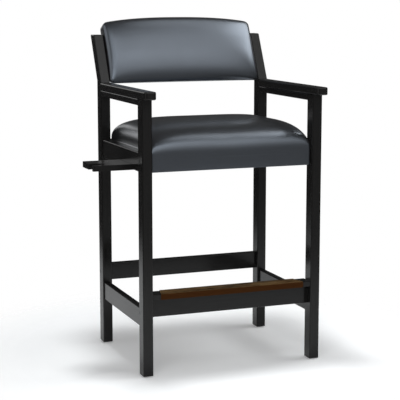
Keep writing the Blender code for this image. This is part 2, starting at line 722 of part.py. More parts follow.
# Assembly
def main():
    """Build both side frames, the pieces across them, the upholstery and the cue rest."""
    front_legs = {side: make_front_leg(side) for side in (-1, 1)}
    rear_legs = {side: make_rear_leg(side) for side in (-1, 1)}
    seat_rails = {}
    for side in (-1, 1):
        legs = (front_legs[side], rear_legs[side])
        label = side_name(side)
        seat_rails[side] = make_side_rail(
            "side_rail_" + label, side, RAIL_OUTER, SEAT_RAIL_WIDTH,
            SEAT_RAIL_LOW, SEAT_RAIL_HIGH, (0.676, 0.700), *legs,
        )
        make_side_rail(
            "side_stretcher_" + label, side, RAIL_OUTER, STRETCHER_WIDTH,
            STRETCHER_LOW, STRETCHER_HIGH, (0.161, 0.189), *legs,
        )
        make_side_rail(
            "arm_rail_" + label, side, HALF, ARM_RAIL_WIDTH,
            ARM_RAIL_LOW, ARM_CAP_LOW - GAP, (0.856, 0.866), *legs,
        )
        make_arm_cap(side)

    bore_mesh = turned_mesh("frame_bore", screw_profile(FRAME_SCREW, GAP))
    screw_mesh = turned_mesh("frame_screw", screw_profile(FRAME_SCREW, 0.0))
    screwed = (
        ("front_seat_rail", FRONT_SEAT_RAIL, front_legs, 0.680, 0.0270),
        ("foot_rail", FOOT_RAIL, front_legs, 0.200, 0.0345),
        ("rear_seat_rail", REAR_SEAT_RAIL, rear_legs, 0.660, 0.4450),
        ("rear_stretcher", REAR_STRETCHER, rear_legs, 0.248, 0.4600),
    )
    back_board = make_back_board()
    for name, section, legs, height, depth_at in screwed:
        rail = make_cross_rail(name, section)
        for side in (-1, 1):
            make_frame_screw(name, side, rail, legs[side], height, depth_at, bore_mesh, screw_mesh)
    for side in (-1, 1):
        make_back_screws(side, rear_legs[side], back_board, bore_mesh, screw_mesh)

    make_foot_tread()
    make_foot_plate()
    make_seat_base()
    make_seat_cushion()
    make_back_cushion()
    make_back_rear_panel()
    make_cue_rest(seat_rails[-1])


main()
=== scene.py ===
"""Looks of a billiard spectator chair: dark sprayed hardwood, vinyl cushions, brushed foot plate.

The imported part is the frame. Its seat cushion, back cushion and rear panel are replaced by stuffed
forms, every other node keeps its shape and gets a finish, and a pale studio stands round them.
Lengths are in metres in the part's own frame, except where a name ends in _mm.
"""
import json
import logging
import math
from dataclasses import dataclass, field
from enum import Enum
from typing import Callable

import bpy
import numpy as np
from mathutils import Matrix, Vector


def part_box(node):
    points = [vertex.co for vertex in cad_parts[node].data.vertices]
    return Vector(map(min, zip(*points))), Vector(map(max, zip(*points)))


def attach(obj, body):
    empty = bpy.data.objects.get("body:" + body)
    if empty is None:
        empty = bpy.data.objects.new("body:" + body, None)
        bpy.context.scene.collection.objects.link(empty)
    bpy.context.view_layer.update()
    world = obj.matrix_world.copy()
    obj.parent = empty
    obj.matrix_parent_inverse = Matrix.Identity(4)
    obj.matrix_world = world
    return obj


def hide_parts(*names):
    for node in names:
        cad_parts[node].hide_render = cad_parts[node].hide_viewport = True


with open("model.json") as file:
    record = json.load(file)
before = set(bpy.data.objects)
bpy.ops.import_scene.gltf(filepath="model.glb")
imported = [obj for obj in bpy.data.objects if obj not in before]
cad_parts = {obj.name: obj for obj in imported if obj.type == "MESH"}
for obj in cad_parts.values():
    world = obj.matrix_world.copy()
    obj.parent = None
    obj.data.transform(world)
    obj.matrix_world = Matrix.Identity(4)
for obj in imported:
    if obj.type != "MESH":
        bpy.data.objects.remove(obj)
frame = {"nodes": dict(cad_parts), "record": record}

LOG = logging.getLogger("spectator_chair")
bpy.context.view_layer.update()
MM_IN_M = 1000
WHITE = "#ffffff"
# Blender's noise keeps mostly to this part of its range
NOISE_SPREAD = (0.3, 0.7)
# Steps in which the length of a crown's curve is measured
CURVE_STEPS = 4000
# How steeply a cover's pull grows toward the side that it draws in
PULL_POWER = 4
# Slack for telling which points lie on a height
NEAR = 1e-4


def linear(hex_colour: str) -> tuple[float, float, float, float]:
    """Turn an sRGB hex colour into Blender's linear colour.

    Args:
        hex_colour: Colour such as "#1a2b3c".
    Returns:
        Linear red, green and blue, with an alpha of 1.
    """
    values = [int(hex_colour[i:i + 2], 16) / 255 for i in (1, 3, 5)]
    shades = [v / 12.92 if v <= 0.04045 else ((v + 0.055) / 1.055) ** 2.4 for v in values]
    return (*shades, 1.0)


def add_node(tree: bpy.types.NodeTree, kind: str, settings: dict | None = None,
             inputs: dict | None = None) -> bpy.types.Node:
    """Add one node with its settings and links.

    Args:
        tree: Node tree that takes the node.
        kind: Blender's name for the node type.
        settings: Properties to set, by name.
        inputs: Values or output sockets for the inputs, by name or number.
    Returns:
        The new node.
    """
    node = tree.nodes.new(kind)
    for name, value in (settings or {}).items():
        setattr(node, name, value)
    for key, value in (inputs or {}).items():
        if isinstance(value, bpy.types.NodeSocket):
            tree.links.new(value, node.inputs[key])
        else:
            node.inputs[key].default_value = value
    return node


def new_material(name: str) -> tuple[bpy.types.Material, bpy.types.NodeTree, bpy.types.Node]:
    """Make an empty material with its shader.

    Args:
        name: Name of the material.
    Returns:
        The material, its node tree and its Principled shader.
    """
    material = bpy.data.materials.new(name)
    material.use_nodes = True
    return material, material.node_tree, material.node_tree.nodes["Principled BSDF"]


class Run(Enum):
    """The axis that a piece's grain or brushing runs along."""

    X = 0
    Y = 1
    Z = 2

    def stretched(self, along_mm: float, across_mm: float) -> tuple[float, float, float]:
        """Scales in features per metre, for features this long on the axis and this wide across."""
        sizes_mm = (along_mm if axis is self else across_mm for axis in Run)
        return tuple(MM_IN_M / size for size in sizes_mm)


@dataclass(frozen=True)
class SprayedLacquer:
    """Hardwood, stained almost black and sprayed with a satin clear lacquer."""

    run: Run
    stain: str = "#171616"
    streak: str = "#242322"
    grain_mm: tuple[float, float] = (120.0, 3.0)
    pore_mm: tuple[float, float] = (9.0, 0.7)
    pore_depth_mm: float = 0.25
    pore_strength: float = 0.12
    roughness: tuple[float, float] = (0.17, 0.24)
    edge_roughness: float = 0.6
    # Largest part of the normal, from a dull edge to a plain face
    edge_facing: tuple[float, float] = (0.80, 0.89)
    ior: float = 1.5
    reflection: float = 0.22

    def build(self) -> bpy.types.Material:
        """Build the finish.

        Returns:
            A material that shows faint lengthwise streaks under a soft, even shine.
        """
        along = self.run.name.lower()
        material, tree, shader = new_material("sprayed_lacquer_on_stained_hardwood_" + along)
        place = add_node(tree, "ShaderNodeTexCoord").outputs["Object"]
        # The stain soaks into early wood more than late wood: faint streaks along the plank
        grain = add_node(tree, "ShaderNodeMapping", inputs={
            "Vector": place, "Scale": self.run.stretched(*self.grain_mm)})
        streaks = add_node(tree, "ShaderNodeTexNoise", inputs={
            "Vector": grain.outputs[0], "Scale": 1.0, "Detail": 5.0, "Distortion": 0.6})
        colour = add_node(tree, "ShaderNodeMix", {"data_type": "RGBA"}, {
            0: streaks.outputs["Fac"], 6: linear(self.stain), 7: linear(self.streak)})
        # Open pores print through the sprayed film as short, shallow dashes
        pores = add_node(tree, "ShaderNodeMapping", inputs={
            "Vector": place, "Scale": self.run.stretched(*self.pore_mm)})
        dashes = add_node(tree, "ShaderNodeTexNoise", inputs={
            "Vector": pores.outputs[0], "Scale": 1.0, "Detail": 2.0})
        bump = add_node(tree, "ShaderNodeBump", inputs={
            "Strength": self.pore_strength, "Distance": self.pore_depth_mm / MM_IN_M,
            "Height": dashes.outputs["Fac"]})
        shine = add_node(tree, "ShaderNodeMapRange", inputs={
            "Value": streaks.outputs["Fac"],
            "From Min": NOISE_SPREAD[0], "From Max": NOISE_SPREAD[1],
            "To Min": self.roughness[0], "To Max": self.roughness[1]})
        # The film is rubbed dull where it thins over rounded edges, which face no axis
        turned = add_node(tree, "ShaderNodeVectorMath", {"operation": "ABSOLUTE"}, {
            0: add_node(tree, "ShaderNodeNewGeometry").outputs["Normal"]})
        parts = add_node(tree, "ShaderNodeSeparateXYZ", inputs={0: turned.outputs[0]})
        level = add_node(tree, "ShaderNodeMath", {"operation": "MAXIMUM"}, {
            0: parts.outputs["X"], 1: parts.outputs["Y"]})
        square = add_node(tree, "ShaderNodeMath", {"operation": "MAXIMUM"}, {
            0: level.outputs[0], 1: parts.outputs["Z"]})
        dull = add_node(tree, "ShaderNodeMapRange", inputs={
            "Value": square.outputs[0],
            "From Min": self.edge_facing[0], "From Max": self.edge_facing[1],
            "To Min": self.edge_roughness, "To Max": 0.0})
        rough = add_node(tree, "ShaderNodeMath", {"operation": "MAXIMUM"}, {
            0: shine.outputs[0], 1: dull.outputs[0]})
        tree.links.new(colour.outputs[2], shader.inputs["Base Color"])
        tree.links.new(rough.outputs[0], shader.inputs["Roughness"])
        tree.links.new(bump.outputs[0], shader.inputs["Normal"])
        shader.inputs["IOR"].default_value = self.ior
        shader.inputs["Specular IOR Level"].default_value = self.reflection
        return material


@dataclass(frozen=True)
class EmbossedVinyl:
    """PVC-coated fabric, embossed with a fine leather grain."""

    ground: str = "#262627"
    # Darker colour painted into the valleys between the pebbles, as shade
    valley_shade: str = "#1e1e1f"
    sheen_tint: str = "#d4e7ff"
    # The real grain is near 0.9 mm; it is drawn coarser so that it shows at all in the render
    pebble_mm: float = 1.8
    pebble_depth_mm: float = 0.3
    pebble_strength: float = 0.10
    # The rows of pebbles wander by this much, in waves of a few pebbles
    wander_mm: float = 1.2
    wave_pebbles: int = 3
    cloud_mm: float = 60.0
    roughness: tuple[float, float] = (0.28, 0.34)
    ior: float = 1.53
    reflection: float = 1.0
    coat: float = 1.0
    coat_roughness: float = 0.3

    def build(self) -> bpy.types.Material:
        """Build the finish.

        Returns:
            A material with a soft broad shine broken by small pebbles.
        """
        material, tree, shader = new_material("embossed_pvc_vinyl")
        place = add_node(tree, "ShaderNodeTexCoord").outputs["Object"]
        # Roller embossing leaves rounded pebbles with narrow valleys between them
        warp = add_node(tree, "ShaderNodeTexNoise", inputs={
            "Vector": place, "Scale": MM_IN_M / (self.wave_pebbles * self.pebble_mm), "Detail": 2.0})
        bent = add_node(tree, "ShaderNodeMix", {"data_type": "VECTOR"}, {
            0: self.wander_mm / MM_IN_M, 4: place, 5: warp.outputs["Color"]})
        pebbles = add_node(tree, "ShaderNodeTexVoronoi", {"feature": "SMOOTH_F1"}, {
            "Vector": bent.outputs[1], "Scale": MM_IN_M / self.pebble_mm, "Smoothness": 0.6})
        # Painted shade: the colour darkens from the pebbles' tops into the valleys between them
        colour = add_node(tree, "ShaderNodeMix", {"data_type": "RGBA"}, {
            0: pebbles.outputs["Distance"], 6: linear(self.ground), 7: linear(self.valley_shade)})
        bump = add_node(tree, "ShaderNodeBump", {"invert": True}, {
            "Strength": self.pebble_strength, "Distance": self.pebble_depth_mm / MM_IN_M,
            "Height": pebbles.outputs["Distance"]})
        # Handling polishes some areas a little more than others
        clouds = add_node(tree, "ShaderNodeTexNoise", inputs={
            "Vector": place, "Scale": MM_IN_M / self.cloud_mm, "Detail": 3.0})
        shine = add_node(tree, "ShaderNodeMapRange", inputs={
            "Value": clouds.outputs["Fac"],
            "From Min": NOISE_SPREAD[0], "From Max": NOISE_SPREAD[1],
            "To Min": self.roughness[0], "To Max": self.roughness[1]})
        tree.links.new(colour.outputs[2], shader.inputs["Base Color"])
        tree.links.new(shine.outputs[0], shader.inputs["Roughness"])
        tree.links.new(bump.outputs[0], shader.inputs["Normal"])
        tree.links.new(bump.outputs[0], shader.inputs["Coat Normal"])
        shader.inputs["IOR"].default_value = self.ior
        shader.inputs["Specular Tint"].default_value = linear(self.sheen_tint)
        shader.inputs["Specular IOR Level"].default_value = self.reflection
        # The roller's last pass is a clear lacquer, which doubles the shine
        shader.inputs["Coat Weight"].default_value = self.coat
        shader.inputs["Coat Roughness"].default_value = self.coat_roughness
        return material


@dataclass(frozen=True)
class BrushedBronze:
    """Steel sheet plated in antique bronze and brushed along its length."""

    metal: str = "#a2845b"
    dark: str = "#62492d"
    # Darker brown painted as shade on the lip and the other faces that do not face up
    lip: str = "#4a2d17"
    brush_mm: tuple[float, float] = (70.0, 0.6)
    brush_depth_mm: float = 0.1
    brush_strength: float = 0.08
    cloud_mm: float = 45.0
    # Range of the two noises' product, from dark patches to bare metal
    patch_spread: tuple[float, float] = (0.12, 0.42)
    # Upward part of the normal, from the lip painted in shade to the top painted paler as if lit
    # from above
    lit_facing: tuple[float, float] = (0.5, 0.9)
    roughness: tuple[float, float] = (0.62, 0.72)
    metallic: float = 1.0
    anisotropy: float = 0.5

    def build(self) -> bpy.types.Material:
        """Build the finish.

        Returns:
            A warm metal whose highlights smear across the brushing.
        """
        material, tree, shader = new_material("brushed_antique_bronze_plate")
        place = add_node(tree, "ShaderNodeTexCoord").outputs["Object"]
        # A belt leaves fine lines along the sheet, drawn coarser here so that they show
        lines = add_node(tree, "ShaderNodeMapping", inputs={
            "Vector": place, "Scale": Run.X.stretched(*self.brush_mm)})
        brushing = add_node(tree, "ShaderNodeTexNoise", inputs={
            "Vector": lines.outputs[0], "Scale": 1.0, "Detail": 3.0})
        # Antiquing stays darker in patches that were rubbed back less
        clouds = add_node(tree, "ShaderNodeTexNoise", inputs={
            "Vector": place, "Scale": MM_IN_M / self.cloud_mm, "Detail": 4.0})
        blend = add_node(tree, "ShaderNodeMath", {"operation": "MULTIPLY"}, {
            0: brushing.outputs["Fac"], 1: clouds.outputs["Fac"]})
        spread = add_node(tree, "ShaderNodeMapRange", inputs={
            "Value": blend.outputs[0],
            "From Min": self.patch_spread[0], "From Max": self.patch_spread[1]})
        rubbed = add_node(tree, "ShaderNodeMix", {"data_type": "RGBA"}, {
            0: spread.outputs[0], 6: linear(self.dark), 7: linear(self.metal)})
        # Painted light: faces turned up are painted a paler bronze as if lit from above, and the
        # folded lip and other side faces a darker brown as painted shade
        facing = add_node(tree, "ShaderNodeSeparateXYZ", inputs={
            0: add_node(tree, "ShaderNodeNewGeometry").outputs["Normal"]})
        lit_top = add_node(tree, "ShaderNodeMapRange", inputs={
            "Value": facing.outputs["Z"],
            "From Min": self.lit_facing[0], "From Max": self.lit_facing[1]})
        colour = add_node(tree, "ShaderNodeMix", {"data_type": "RGBA"}, {
            0: lit_top.outputs[0], 6: linear(self.lip), 7: rubbed.outputs[2]})
        shine = add_node(tree, "ShaderNodeMapRange", inputs={
            "Value": brushing.outputs["Fac"],
            "From Min": NOISE_SPREAD[0], "From Max": NOISE_SPREAD[1],
            "To Min": self.roughness[0], "To Max": self.roughness[1]})
        bump = add_node(tree, "ShaderNodeBump", inputs={
            "Strength": self.brush_strength, "Distance": self.brush_depth_mm / MM_IN_M,
            "Height": brushing.outputs["Fac"]})
        tree.links.new(colour.outputs[2], shader.inputs["Base Color"])
        tree.links.new(shine.outputs[0], shader.inputs["Roughness"])
        tree.links.new(bump.outputs[0], shader.inputs["Normal"])
        shader.inputs["Metallic"].default_value = self.metallic
        shader.inputs["Anisotropic"].default_value = self.anisotropy
        return material


@dataclass(frozen=True)
class PlainSurface:
    """A plain stock surface with a fine texture of its own."""

    name: str
    base: str
    shade: str
    size_mm: tuple[float, float]
    roughness: float
    metallic: float = 0.0
    run: Run = Run.Y
    depth_mm: float = 0.2
    bump: float = 0.1

    def build(self) -> bpy.types.Material:
        """Build the finish.

        Returns:
            A material of two near shades mixed by a drawn-out noise.
        """
        material, tree, shader = new_material(self.name)
        place = add_node(tree, "ShaderNodeTexCoord").outputs["Object"]
        drawn = add_node(tree, "ShaderNodeMapping", inputs={
            "Vector": place, "Scale": self.run.stretched(*self.size_mm)})
        noise = add_node(tree, "ShaderNodeTexNoise", inputs={
            "Vector": drawn.outputs[0], "Scale": 1.0, "Detail": 4.0, "Distortion": 0.4})
        colour = add_node(tree, "ShaderNodeMix", {"data_type": "RGBA"}, {
            0: noise.outputs["Fac"], 6: linear(self.base), 7: linear(self.shade)})
        bump = add_node(tree, "ShaderNodeBump", inputs={
            "Strength": self.bump, "Distance": self.depth_mm / MM_IN_M,
            "Height": noise.outputs["Fac"]})
        tree.links.new(colour.outputs[2], shader.inputs["Base Color"])
        tree.links.new(bump.outputs[0], shader.inputs["Normal"])
        shader.inputs["Roughness"].default_value = self.roughness
        shader.inputs["Metallic"].default_value = self.metallic
        return material


@dataclass
class PadGrid:
    """A stuffed form as a block of cells, some filled, that is then bent to shape."""

    lines: tuple[np.ndarray, np.ndarray, np.ndarray]
    filled: np.ndarray

    @classmethod
    def full(cls, *lines: np.ndarray) -> "PadGrid":
        """A block with all cells filled between the grid lines of its three axes."""
        return cls(lines, np.ones([len(line) - 1 for line in lines], dtype=bool))

    def middles(self) -> tuple[np.ndarray, ...]:
        """Middles of the cells along the three axes, shaped to combine over the block."""
        centres = [(line[1:] + line[:-1]) / 2 for line in self.lines]
        return tuple(np.meshgrid(*centres, indexing="ij", sparse=True))

    def surface(self) -> tuple[np.ndarray, np.ndarray]:
        """Find the outer faces of the filled cells.

        Returns:
            The grid numbers of each corner point, and four point numbers for each face.
        """
        shape = np.array(self.filled.shape) + 1
        padded = np.pad(self.filled, 1)
        quads = []
        for axis in range(3):
            second = (axis + 1) % 3
            third = (axis + 2) % 3
            for side in (0, 1):
                beyond = np.roll(padded, 1 - 2 * side, axis=axis)[1:-1, 1:-1, 1:-1]
                cells = np.argwhere(self.filled & ~beyond)
                turns = ((0, 0), (1, 0), (1, 1), (0, 1))
                corners = []
                for step_second, step_third in turns if side else reversed(turns):
                    corner = cells.copy()
                    corner[:, axis] += side
                    corner[:, second] += step_second
                    corner[:, third] += step_third
                    corners.append(np.ravel_multi_index(corner.T, shape))
                quads.append(np.stack(corners, axis=1))
        used, faces = np.unique(np.concatenate(quads), return_inverse=True)
        return np.stack(np.unravel_index(used, shape), axis=1), faces.reshape(-1, 4)

    def points(self) -> np.ndarray:
        """Points of the straight block, as rows along its three axes."""
        numbers, _ = self.surface()
        return np.stack([self.lines[axis][numbers[:, axis]] for axis in range(3)], axis=1)

    def build(self, name: str, bend: Callable[[np.ndarray], np.ndarray]) -> bpy.types.Object:
        """Make the mesh object.

        Args:
            name: Name of the piece.
            bend: Turns points of the straight block into points of the part's frame.
        Returns:
            The closed form as an object.
        """
        _, faces = self.surface()
        mesh = bpy.data.meshes.new(name)
        mesh.from_pydata(bend(self.points()).tolist(), [], faces.tolist())
        mesh.validate()
        mesh.shade_smooth()
        piece = bpy.data.objects.new(name, mesh)
        bpy.context.scene.collection.objects.link(piece)
        return piece


def joined_lines(marks: tuple[float, ...], cells: tuple[int, ...]) -> np.ndarray:
    """Grid lines made of runs that follow each other.

    Args:
        marks: Start of the first run and end of each run.
        cells: Number of cells of each run.
    Returns:
        All the lines, each only once.
    """
    runs = zip(marks, marks[1:], cells)
    parts = [np.linspace(start, end, count + 1)[:-1] for start, end, count in runs]
    return np.append(np.concatenate(parts), marks[-1])


def snap(lines: np.ndarray, *marks: float) -> None:
    """Move the grid line nearest to each mark onto it."""
    for mark in marks:
        lines[np.argmin(np.abs(lines - mark))] = mark


def even_on_crown(power: float, width: float, height: float, cells: int) -> np.ndarray:
    """Places from 0 to 1 that lie evenly along a crown's curve, closer at its steep edge.

    Args:
        power: Power of the crown's curve.
        width: Half width that the curve spans.
        height: Height that it falls.
        cells: Number of steps.
    Returns:
        The places, as shares of the half width.
    """
    turn = np.linspace(0.0, math.pi / 2, CURVE_STEPS + 1)
    along = np.sin(turn) ** (2 / power)
    up = np.cos(turn) ** (2 / power)
    steps = np.hypot(np.diff(along * width), np.diff(up * height))
    length = np.concatenate([[0.0], np.cumsum(steps)])
    return np.interp(np.linspace(0.0, length[-1], cells + 1), length, along)


def across_crown(powers: tuple[float, float], width: float, height: float, cells: int) -> np.ndarray:
    """Places from -1 to 1 that lie evenly over a crown whose two sides may differ.

    Args:
        powers: Power of the curve below and above the middle.
        width: Half width that each side spans.
        height: Height that it falls.
        cells: Number of steps on each side.
    Returns:
        The places, as shares of the half width.
    """
    low, high = (even_on_crown(power, width, height, cells) for power in powers)
    return np.concatenate([-low[:0:-1], high])


def crown(share: np.ndarray, power: np.ndarray | float) -> np.ndarray:
    """Height of a stuffed crown, 1 in the middle and 0 at its edge.

    Args:
        share: Places from -1 to 1.
        power: How square the crown is.
    Returns:
        Height at each place.
    """
    return np.maximum(0.0, 1.0 - np.abs(share) ** power) ** (1.0 / power)


def round_corners(x: np.ndarray, y: np.ndarray, half: float, low: float, high: float,
                  radius: float) -> tuple[np.ndarray, np.ndarray]:
    """Round the four corners of a rectangle seen in plan.

    Args:
        x: Places across, from -half to half.
        y: Places along, from low to high.
        half: Half width of the rectangle.
        low: Its lower end.
        high: Its upper end.
        radius: Corner radius.
    Returns:
        The moved places.
    """
    over_x = np.maximum(0.0, np.abs(x) - (half - radius)) / radius
    over_y = np.maximum(0.0, np.maximum(low + radius - y, y - (high - radius))) / radius
    new_x = over_x * np.sqrt(1.0 - over_y ** 2 / 2.0)
    new_y = over_y * np.sqrt(1.0 - over_x ** 2 / 2.0)
    middle = (low + high) / 2
    moved_x = x - np.sign(x) * (over_x - new_x) * radius
    moved_y = y - np.sign(y - middle) * (over_y - new_y) * radius
    return moved_x, moved_y


def draw_in(side: np.ndarray, along: np.ndarray) -> np.ndarray:
    """How much a cover's tension pulls a side in between its two corners.

    Args:
        side: Places from -1 to 1 across, where the sides are -1 and 1.
        along: Places from -1 to 1 along the side, where the corners are -1 and 1.
    Returns:
        Move toward the middle, from -1 to 1, none at the corners.
    """
    return -np.sign(side) * np.abs(side) ** PULL_POWER * (1.0 - along ** 2)


def points_of(piece: bpy.types.Object) -> np.ndarray:
    """Read all mesh points of a piece.

    Args:
        piece: The piece.
    Returns:
        Rows of x, y and z.
    """
    flat = np.empty(len(piece.data.vertices) * 3)
    piece.data.vertices.foreach_get("co", flat)
    return flat.reshape(-1, 3)


def set_points(piece: bpy.types.Object, points: np.ndarray) -> None:
    """Put the mesh points of a piece at new places."""
    piece.data.vertices.foreach_set("co", points.ravel())
    piece.data.update()


@dataclass(frozen=True)
class Stuffing:
    """How a cover swells over its foam."""

    pressure: float = 4.0
    frames: int = 20
    cap: float = 0.028
    tension: float = 25.0
    bending: float = 2.0
    mass: float = 0.3
    quality: int = 6
    smoothing: int = 30

    def swell(self, piece: bpy.types.Object, held: np.ndarray) -> np.ndarray:
        """Blow the cover up as cloth, with some points held where they are tacked.

        Args:
            piece: The stuffed form.
            held: True for each point that stays.
        Returns:
            How far each point moved, capped and evened out.
        """
        start = points_of(piece)
        tacked = piece.vertex_groups.new(name="tacked")
        tacked.add(np.flatnonzero(held).tolist(), 1.0, "REPLACE")
        modifier = piece.modifiers.new("cover", "CLOTH")
        cloth = modifier.settings
        cloth.quality = self.quality
        cloth.mass = self.mass
        cloth.tension_stiffness = self.tension
        cloth.compression_stiffness = self.tension
        cloth.shear_stiffness = self.tension / 2
        cloth.bending_stiffness = self.bending
        cloth.use_pressure = True
        cloth.uniform_pressure_force = self.pressure
        cloth.effector_weights.gravity = 0.0
        cloth.vertex_group_mass = tacked.name
        modifier.point_cache.frame_start = 1
        modifier.point_cache.frame_end = self.frames
        for number in range(1, self.frames + 1):
            bpy.context.scene.frame_set(number)
        swollen = piece.evaluated_get(bpy.context.evaluated_depsgraph_get())
        moved = points_of(swollen) - start
        piece.modifiers.remove(modifier)
        piece.vertex_groups.remove(tacked)
        bpy.context.scene.frame_set(1)
        reach = np.linalg.norm(moved, axis=1, keepdims=True)
        LOG.info("%s swelled by %.1f mm at most", piece.name, reach.max() * MM_IN_M)
        return self.tautened(piece, moved * (self.cap / np.maximum(reach, self.cap)), held)

    def tautened(self, piece: bpy.types.Object, moved: np.ndarray, held: np.ndarray) -> np.ndarray:
        """Spread each move over its neighbours, as a cover pulled tight over foam does."""
        free = np.where(held, 0.0, 1.0)
        return relax(piece, np.where(held[:, None], 0.0, moved), free, self.smoothing)


def relax(piece: bpy.types.Object, points: np.ndarray, give: np.ndarray, rounds: int) -> np.ndarray:
    """Ease points toward the middle of their neighbours, to round a fold off.

    Args:
        piece: The form whose edges say which points are neighbours.
        points: Places of its points.
        give: How far each point gives way, from 0 to 1.
        rounds: How often this is done.
    Returns:
        The eased places.
    """
    ends = np.empty(len(piece.data.edges) * 2, dtype=int)
    piece.data.edges.foreach_get("vertices", ends)
    first, second = ends.reshape(-1, 2).T
    count = np.bincount(ends, minlength=len(points))[:, None]
    for _ in range(rounds):
        total = np.zeros_like(points)
        np.add.at(total, first, points[second])
        np.add.at(total, second, points[first])
        points = points + give[:, None] * (total / count - points) / 2
    return points


def dress(piece: bpy.types.Object, finish: bpy.types.Material, fill: float, *nodes: str) -> None:
    """Give a stuffed piece its finish and its place in the frame.

    Args:
        piece: The stuffed form.
        finish: Material of its cover.
        fill: How tightly it is stuffed; not used.
        nodes: Nodes that it stands for.
    """
    piece.data.materials.append(finish)
    smooth = piece.modifiers.new("smooth", "SUBSURF")
    smooth.levels = 1
    smooth.render_levels = 1
    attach(piece, "frame")
    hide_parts(*nodes)


def settled(local: np.ndarray, moved: np.ndarray, swelling: float, clear_half: float) -> np.ndarray:
    """Add a swell to a form and keep it clear of the wood beside it.

    Args:
        local: Points of the form, the third measure being its height.
        moved: How far each point swells, in any scale.
        swelling: Most that the height gains.
        clear_half: Half of the clear width between the wood.
    Returns:
        The settled points.
    """
    points = local + moved * swelling / moved[:, 2].max()
    points[:, 0] = np.clip(points[:, 0], -clear_half, clear_half)
    return points


@dataclass
class SeatCushion:
    """The seat: foam on a deck under a cover that drops over the front rail."""

    origin: Vector
    half: float = 0.2697
    front: float = 0.0122
    back: float = 0.4332
    apron: float = 0.0055
    lip: float = 0.0110
    hem_z: float = 0.6452
    deck_under_z: float = 0.6903
    deck_z: float = 0.7055
    roll_z: float = 0.6870
    edge_z: float = 0.7085
    crest_z: float = 0.7880
    swelling: float = 0.0030
    # How square the crown is toward the left and right, the front and rear, and along the front
    side_powers: tuple[float, float] = (3.9, 5.6)
    end_powers: tuple[float, float] = (2.9, 5.2)
    edge_power: float = 8.0
    corner: float = 0.004
    cells: tuple[int, int] = (42, 38)
    drop_cells: tuple[int, int, int] = (7, 3, 2)
    pulled: float = 0.002
    clear_half: float = 0.2703
    fill: float = 0.85
    stuffing: Stuffing = field(default_factory=Stuffing)

    def grid(self) -> PadGrid:
        """Lay out the cells: a pad, a drop in front and a lip behind.

        Returns:
            The block before it is bent.
        """
        half_depth = (self.back - self.front) / 2
        middle = (self.back + self.front) / 2
        rise = self.crest_z - self.edge_z
        x = self.half * across_crown(self.side_powers, self.half, rise, self.cells[0])
        y = middle + half_depth * across_crown(self.end_powers, half_depth, rise, self.cells[1])
        inner_front = self.front + self.apron
        inner_back = self.back - self.lip
        snap(y, inner_front, inner_back)
        z = joined_lines((self.hem_z, self.deck_under_z, self.deck_z, self.edge_z), self.drop_cells)
        grid = PadGrid.full(x, y, z)
        _, mid_y, mid_z = grid.middles()
        grid.filled &= ~((mid_y > inner_front) & (mid_y < inner_back) & (mid_z < self.deck_z))
        grid.filled &= ~((mid_y > inner_back) & (mid_z < self.deck_under_z))
        return grid

    def top(self, x: np.ndarray, y: np.ndarray) -> np.ndarray:
        """Height of the seat's upper side before it swells.

        Args:
            x: Places across.
            y: Places from the front to the back.
        Returns:
            Height at each place.
        """
        middle = (self.front + self.back) / 2
        along = (y - middle) / ((self.back - self.front) / 2)
        ahead = along < 0
        low = np.where(ahead, self.roll_z, self.edge_z)
        rise = self.crest_z - self.swelling - low
        ridge = low + rise * crown(along, np.where(ahead, *self.end_powers))
        front_edge = low + (self.edge_z - low) * crown(along, self.edge_power)
        edge = np.where(ahead, front_edge, self.edge_z)
        return edge + (ridge - edge) * crown(x / self.half, np.where(x < 0, *self.side_powers))

    def bend(self, points: np.ndarray) -> np.ndarray:
        """Give the block its crown, its wide front roll and its rounded corners.

        Args:
            points: Points of the straight block.
        Returns:
            Points in the part's frame.
        """
        x, y, z = points.T
        top = self.top(x, y)
        share = np.clip((z - self.deck_z) / (self.edge_z - self.deck_z), 0.0, 1.0)
        padded = z + (top - self.edge_z) * share
        fall = (z - self.hem_z) / (self.edge_z - self.hem_z)
        hung = self.hem_z + fall * (top - self.hem_z)
        inside = np.clip((y - self.front) / self.apron, 0.0, 1.0)
        height = inside * padded + (1.0 - inside) * hung
        moved_x, moved_y = round_corners(x, y, self.half, self.front, self.back, self.corner)
        # The sides and the rear draw in between the corners; the front lies on its rail
        along = (2 * y - self.front - self.back) / (self.back - self.front)
        moved_x = moved_x + self.pulled * share * draw_in(x / self.half, along)
        moved_y = moved_y + self.pulled * share * draw_in(np.maximum(along, 0.0), x / self.half)
        return np.stack([moved_x, moved_y, height], axis=1) + np.array(self.origin)

    def build(self, finish: bpy.types.Material) -> bpy.types.Object:
        """Make, stuff and dress the seat.

        Args:
            finish: Material of the cover.
        Returns:
            The finished piece.
        """
        piece = self.grid().build("seat_upholstery", self.bend)
        local = points_of(piece) - np.array(self.origin)
        on_deck = local[:, 2] < self.deck_z + NEAR
        inner = (local[:, 1] > self.front + self.apron - NEAR) & on_deck
        held = inner | (local[:, 2] < self.hem_z + NEAR)
        moved = self.stuffing.swell(piece, held)
        points = settled(local, moved, self.swelling, self.clear_half)
        set_points(piece, points + np.array(self.origin))
        dress(piece, finish, self.fill, "seat_cushion")
        return piece


